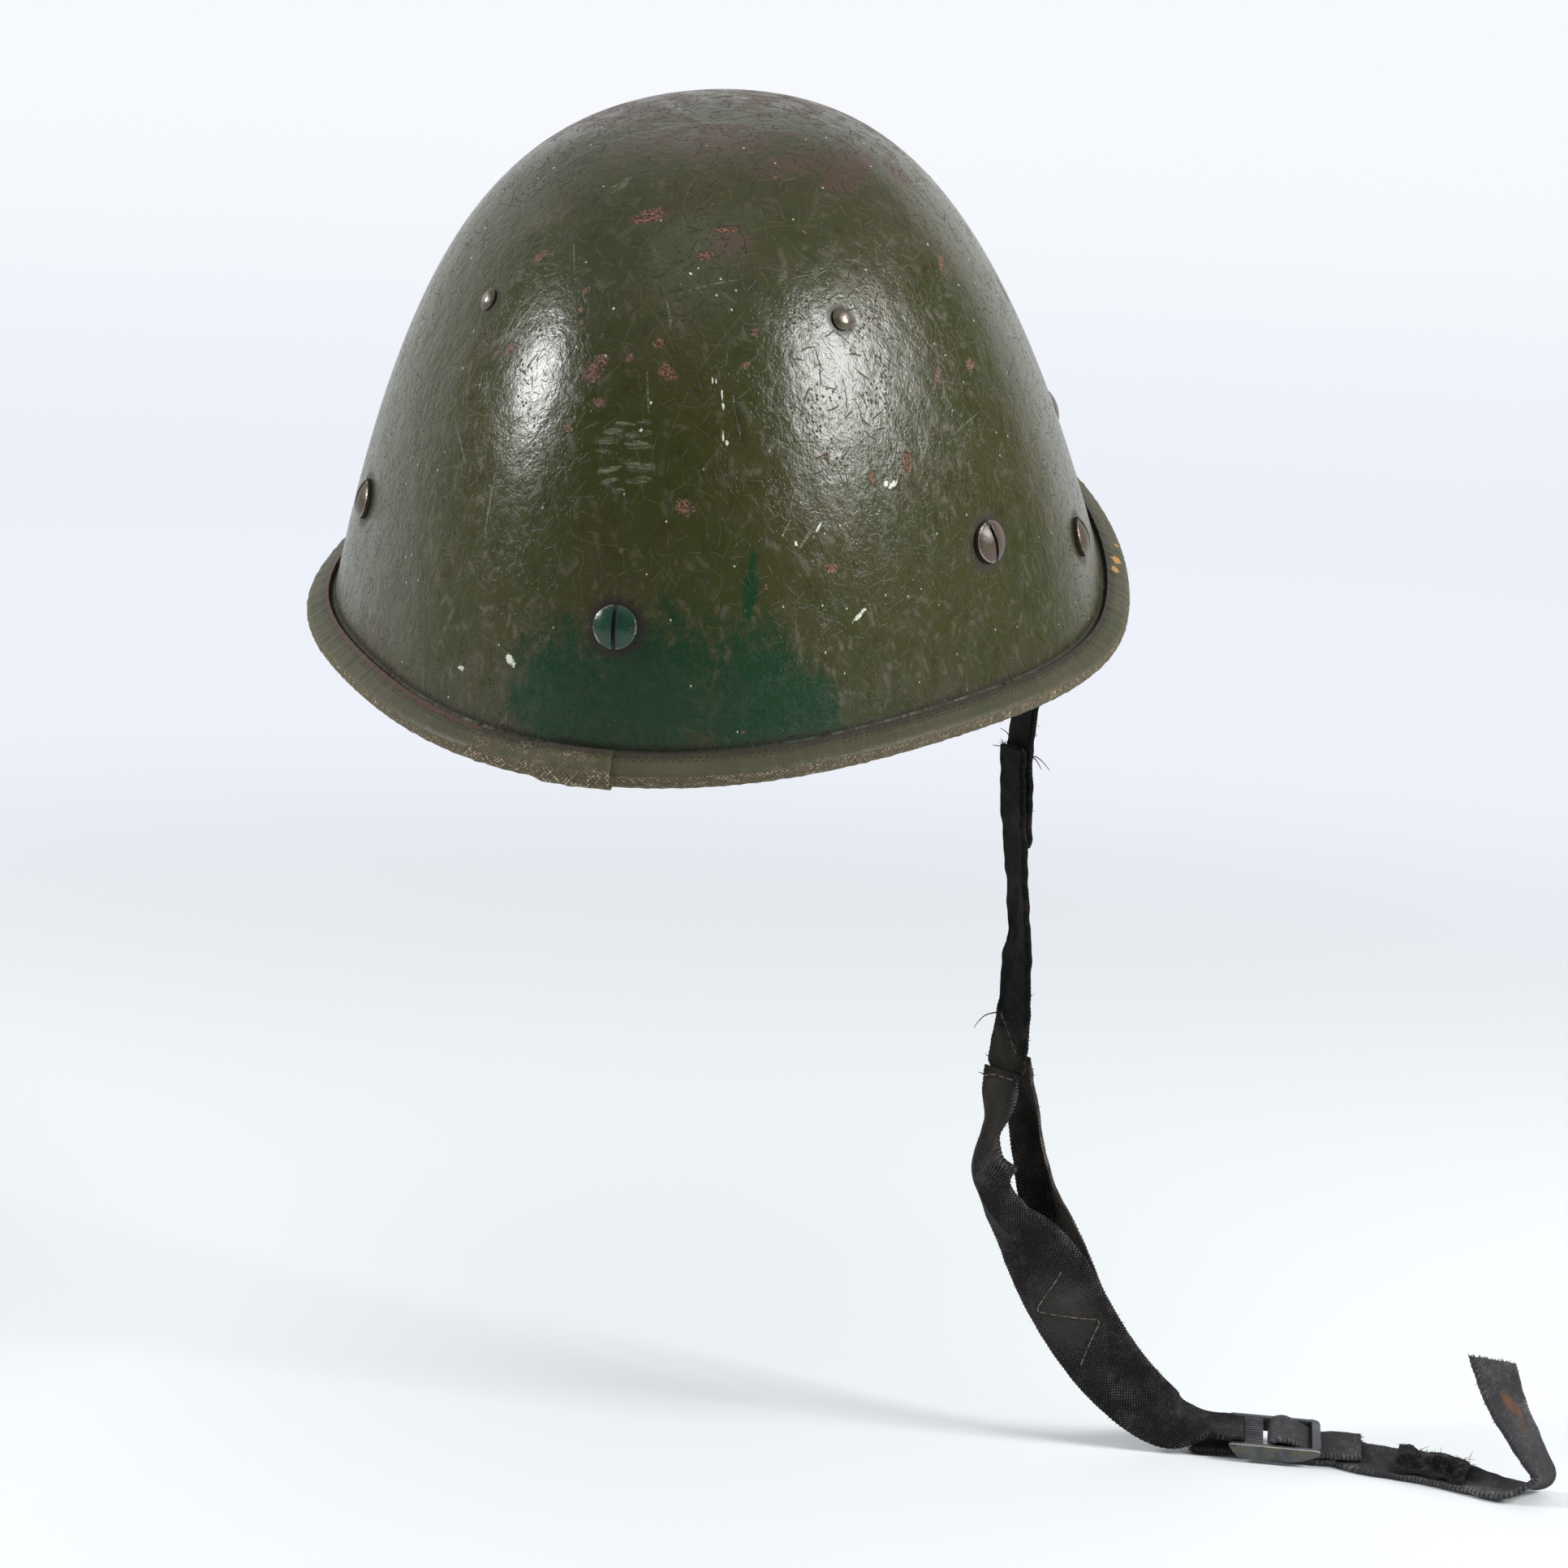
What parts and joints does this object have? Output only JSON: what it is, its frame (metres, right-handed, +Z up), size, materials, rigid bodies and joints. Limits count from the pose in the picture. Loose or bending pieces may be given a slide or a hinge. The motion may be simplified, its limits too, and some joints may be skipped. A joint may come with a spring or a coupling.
{
  "type": "ballistic helmet with chin strap",
  "caption": "Moulded fibre-composite combat helmet with an out-turned bound rim, slotted bolts, rivets and a black webbing chin strap with a buckle and a free end.",
  "frame": {"origin": "middle of the helmet's opening, where it sits on a head, level with the root of the rim at front and back", "axes": "+Z up (plumb), -Y to the front, +X to the wearer's left; the helmet leans 18.3 degrees forward about X"},
  "size_m": [0.402, 0.2808, 0.418],
  "materials": {
    "shell_paint": "worn olive paint over a moulded fibre composite, semi-gloss, scratched and chipped",
    "binding_canvas": "canvas tape painted over, its edge worn to bare fibres",
    "fastener_steel": "painted steel, worn to brown-grey metal on the raised parts",
    "strap_webbing": "dusty black woven webbing with pale stitches and frayed ends",
    "hook_tape": "torn black fuzzy hook tape",
    "buckle_metal": "grey painted metal, scratched on its edges"
  },
  "bodies": {
    "root": {"shell": "shell_paint", "edge_binding": "binding_canvas", "bolt_front": "fastener_steel", "nut_front": "fastener_steel", "bolt_left_front": "fastener_steel", "nut_left_front": "fastener_steel", "bolt_left_back": "fastener_steel", "nut_left_back": "fastener_steel", "bolt_back": "fastener_steel", "nut_back": "fastener_steel", "bolt_right_back": "fastener_steel", "nut_right_back": "fastener_steel", "bolt_right_front": "fastener_steel", "nut_right_front": "fastener_steel", "bolt_left_strap": "fastener_steel", "nut_left_strap": "fastener_steel", "bolt_right_strap": "fastener_steel", "nut_right_strap": "fastener_steel", "rivet_left_front": "fastener_steel", "rivet_left_back": "fastener_steel", "rivet_right_back": "fastener_steel", "rivet_right_front": "fastener_steel", "strap_tab": "strap_webbing", "strap_upper": "strap_webbing", "chin_band_front": "strap_webbing", "chin_band_back": "strap_webbing", "strap_end": "strap_webbing", "hook_patch": "hook_tape", "buckle": "buckle_metal"}
  },
  "joints": []
}
